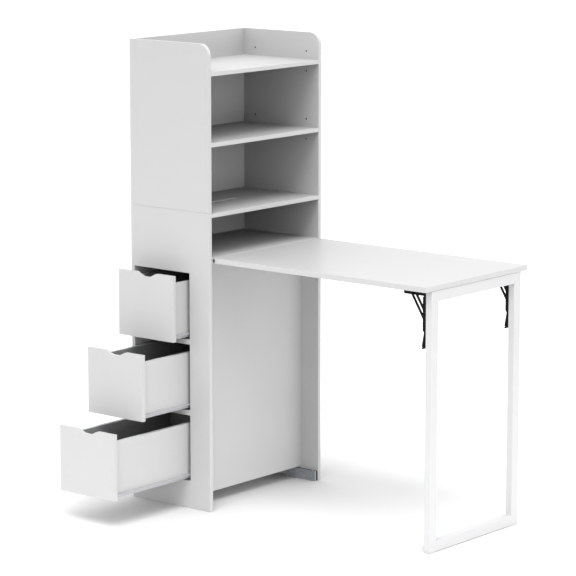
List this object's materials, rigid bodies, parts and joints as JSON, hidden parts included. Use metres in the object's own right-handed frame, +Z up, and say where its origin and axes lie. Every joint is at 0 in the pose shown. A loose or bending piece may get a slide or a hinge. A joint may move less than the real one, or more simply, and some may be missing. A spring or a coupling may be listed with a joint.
{
  "type": "storage cabinet with fold-down desk",
  "caption": "Tall narrow shelf cabinet with side-pulling drawers and a fold-down desk leaf that stands on a folding leg frame.",
  "frame": {"origin": "on the floor, below the middle of the whole piece of furniture as the picture shows it, with the leaf up and the drawers out", "axes": "+X from the cabinet to the outer end of the leaf, +Y from the drawer side to the plain side, drawers pull out along -Y, +Z up"},
  "size_m": [1.0544, 0.823, 1.347],
  "materials": {
    "white_board": "white melamine-faced board, matt",
    "leaf_top": "white melamine-faced board, satin",
    "drawer_front": "white melamine-faced board, matt",
    "drawer_board": "white melamine-faced board, matt",
    "white_tube": "white powder coat",
    "white_plastic": "moulded, matt",
    "white_fitting": "white epoxy coat",
    "grey_metal": "grey coat",
    "black_bracket": "black powder coat"
  },
  "bodies": {
    "cabinet": {"back_panel": "white_board", "side_left_upper": "white_board", "side_left_lower": "white_board", "side_right": "white_board", "shelf_top": "white_board", "shelf_middle": "white_board", "shelf_lower": "white_board", "leaf_shelf": "white_board", "recess_panel": "white_board", "divider_upper": "white_board", "divider_lower": "white_board", "bottom_board": "white_board", "foot_plate": "grey_metal", "foot_spacers": "grey_metal", "rails_upper": "white_fitting", "rails_middle": "white_fitting", "rails_lower": "white_fitting", "pivot_arm_near": "white_fitting", "pivot_arm_far": "white_fitting"},
    "leaf": {"leaf_board": "leaf_top", "leaf_lug_near": "white_fitting", "leaf_lug_far": "white_fitting", "bracket_top_near": "black_bracket", "bracket_top_far": "black_bracket"},
    "leg": {"post_near": "white_tube", "post_far": "white_tube", "leg_top_rail": "white_tube", "leg_bottom_rail": "white_tube", "post_caps": "white_plastic", "bracket_leg_near": "black_bracket", "bracket_leg_far": "black_bracket", "bracket_tail_near": "black_bracket", "bracket_tail_far": "black_bracket"},
    "link_near": {"link_near": "black_bracket"},
    "link_far": {"link_far": "black_bracket"},
    "lever_near": {"lever_near": "black_bracket"},
    "lever_far": {"lever_far": "black_bracket"},
    "drawer_upper": {"front_upper": "drawer_front", "side_back_upper": "drawer_board", "side_front_upper": "drawer_board", "rear_upper": "drawer_board", "base_upper": "drawer_board", "runners_upper": "white_fitting"},
    "drawer_middle": {"front_middle": "drawer_front", "side_back_middle": "drawer_board", "side_front_middle": "drawer_board", "rear_middle": "drawer_board", "base_middle": "drawer_board", "runners_middle": "white_fitting"},
    "drawer_lower": {"front_lower": "drawer_front", "side_back_lower": "drawer_board", "side_front_lower": "drawer_board", "rear_lower": "drawer_board", "base_lower": "drawer_board", "runners_lower": "white_fitting"}
  },
  "joints": [
    {"name": "leaf_drop", "type": "hinge", "parent": "cabinet", "child": "leaf", "pos_m": [-0.1852, 0.1595, 0.717], "axis": [0, 1, 0], "range_deg": [0, 90]},
    {"name": "leg_fold", "type": "hinge", "parent": "leaf", "child": "leg", "pos_m": [0.4978, 0.1595, 0.716], "axis": [0, 1, 0], "range_deg": [0, 90]},
    {"name": "link_near_turn", "type": "hinge", "parent": "leaf", "child": "link_near", "pos_m": [0.4518, -0.033, 0.7165], "axis": [0, 1, 0], "range_deg": [0, 119]},
    {"name": "link_far_turn", "type": "hinge", "parent": "leaf", "child": "link_far", "pos_m": [0.4518, 0.352, 0.7165], "axis": [0, 1, 0], "range_deg": [0, 119]},
    {"name": "lever_near_press", "type": "hinge", "parent": "leg", "child": "lever_near", "pos_m": [0.4988, -0.033, 0.592], "axis": [0, 1, 0], "range_deg": [-8, 0], "stiffness_Nm_per_rad": 0.02, "springref_deg": 17.19},
    {"name": "lever_far_press", "type": "hinge", "parent": "leg", "child": "lever_far", "pos_m": [0.4988, 0.352, 0.592], "axis": [0, 1, 0], "range_deg": [-8, 0], "stiffness_Nm_per_rad": 0.02, "springref_deg": 17.19},
    {"name": "drawer_upper_pull", "type": "slide", "parent": "cabinet", "child": "drawer_upper", "axis": [0, -1, 0], "range_m": [-0.069, 0.26]},
    {"name": "drawer_middle_pull", "type": "slide", "parent": "cabinet", "child": "drawer_middle", "axis": [0, -1, 0], "range_m": [-0.201, 0.128]},
    {"name": "drawer_lower_pull", "type": "slide", "parent": "cabinet", "child": "drawer_lower", "axis": [0, -1, 0], "range_m": [-0.319, 0.01]}
  ],
  "couplings": [
    {"joint": "link_near_turn", "follows": "leg_fold", "ratio": 1.3203},
    {"joint": "link_far_turn", "follows": "leg_fold", "ratio": 1.3203}
  ]
}
